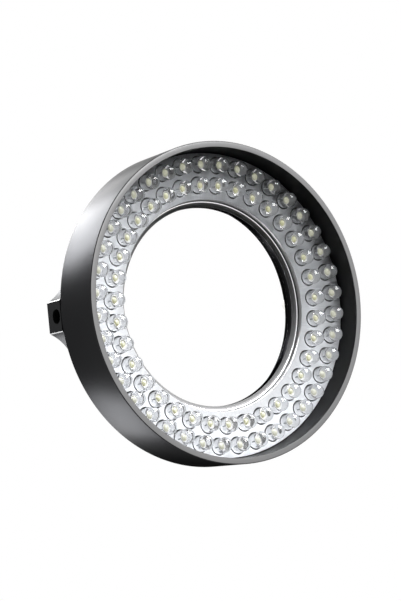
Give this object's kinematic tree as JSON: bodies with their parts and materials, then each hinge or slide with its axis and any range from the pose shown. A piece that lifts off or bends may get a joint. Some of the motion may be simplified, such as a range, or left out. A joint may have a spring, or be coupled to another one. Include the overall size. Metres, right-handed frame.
{
  "type": "microscope ring light",
  "caption": "Ring light for a stereo microscope: a dark metal ring with a wide bore, rows of domed LEDs in a white dished plate, and a rear collar with set screws and a power inlet lug.",
  "frame": {"origin": "on the ring's axis, at the rear face of the mount collar, on which the light lies", "axes": "+Z along the ring's axis, the way the LEDs shine; -X towards the power inlet's lug"},
  "size_m": [0.105, 0.105, 0.028],
  "materials": {
    "anodised_aluminium": "satin dark anodised",
    "white_plate": "satin white",
    "clear_epoxy": "clear, glossy",
    "board_mask": "satin solder mask",
    "black_plastic": "moulded, satin",
    "nylon": "moulded, satin",
    "ceramic": "matt",
    "dark_steel": "black oxide",
    "tinned_metal": "bright tin",
    "brass": "bright",
    "red_jacket": "smooth",
    "black_jacket": "smooth"
  },
  "bodies": {
    "housing": {"outer_shell": "anodised_aluminium", "bore_sleeve": "anodised_aluminium", "mount_collar": "anodised_aluminium", "led_plate": "white_plate", "led_string_inner_1": "clear_epoxy", "led_string_inner_2": "clear_epoxy", "led_string_inner_3": "clear_epoxy", "led_string_inner_4": "clear_epoxy", "led_string_inner_5": "clear_epoxy", "led_string_inner_6": "clear_epoxy", "led_string_inner_7": "clear_epoxy", "led_string_outer_1": "clear_epoxy", "led_string_outer_2": "clear_epoxy", "led_string_outer_3": "clear_epoxy", "led_string_outer_4": "clear_epoxy", "led_string_outer_5": "clear_epoxy", "led_string_outer_6": "clear_epoxy", "led_string_outer_7": "clear_epoxy", "led_string_outer_8": "clear_epoxy", "wiring_board": "board_mask", "ballast_resistors": "ceramic", "polarity_diode": "black_plastic", "wire_terminal": "nylon", "power_socket": "black_plastic", "socket_centre_pin": "tinned_metal", "socket_spring_contact": "brass", "red_wire": "red_jacket", "black_wire": "black_jacket", "board_standoff_1": "brass", "board_standoff_2": "brass", "board_standoff_3": "brass", "board_standoff_4": "brass", "board_screw_1": "dark_steel", "board_screw_2": "dark_steel", "board_screw_3": "dark_steel", "board_screw_4": "dark_steel", "mount_screw_1": "dark_steel", "mount_screw_2": "dark_steel", "mount_screw_3": "dark_steel", "mount_screw_4": "dark_steel", "mount_screw_5": "dark_steel", "mount_screw_6": "dark_steel"},
    "clamp_pad_1": {"clamp_pad_1": "nylon"},
    "clamp_pad_2": {"clamp_pad_2": "nylon"},
    "clamp_pad_3": {"clamp_pad_3": "nylon"},
    "set_screw_1": {"set_screw_1": "dark_steel"},
    "set_screw_2": {"set_screw_2": "dark_steel"},
    "set_screw_3": {"set_screw_3": "dark_steel"}
  },
  "joints": [
    {"name": "clamp_pad_1_press", "type": "slide", "parent": "housing", "child": "clamp_pad_1", "axis": [-1, 0, 0], "range_m": [0, 0.0036]},
    {"name": "clamp_pad_2_press", "type": "slide", "parent": "housing", "child": "clamp_pad_2", "axis": [0.5, -0.866, 0], "range_m": [0, 0.0036]},
    {"name": "clamp_pad_3_press", "type": "slide", "parent": "housing", "child": "clamp_pad_3", "axis": [0.5, 0.866, 0], "range_m": [0, 0.0036]},
    {"name": "set_screw_1_turn", "type": "hinge", "parent": "clamp_pad_1", "child": "set_screw_1", "pos_m": [0.0431, 0, 0.00415], "axis": [-1, 0, 0], "range_deg": [0, 1620]},
    {"name": "set_screw_2_turn", "type": "hinge", "parent": "clamp_pad_2", "child": "set_screw_2", "pos_m": [-0.02155, 0.03733, 0.00415], "axis": [0.5, -0.866, 0], "range_deg": [0, 1620]},
    {"name": "set_screw_3_turn", "type": "hinge", "parent": "clamp_pad_3", "child": "set_screw_3", "pos_m": [-0.02155, -0.03733, 0.00415], "axis": [0.5, 0.866, 0], "range_deg": [0, 1620]}
  ],
  "couplings": [
    {"joint": "set_screw_1_turn", "follows": "clamp_pad_1_press", "rad_per_m": 7854},
    {"joint": "set_screw_2_turn", "follows": "clamp_pad_2_press", "rad_per_m": 7854},
    {"joint": "set_screw_3_turn", "follows": "clamp_pad_3_press", "rad_per_m": 7854}
  ]
}
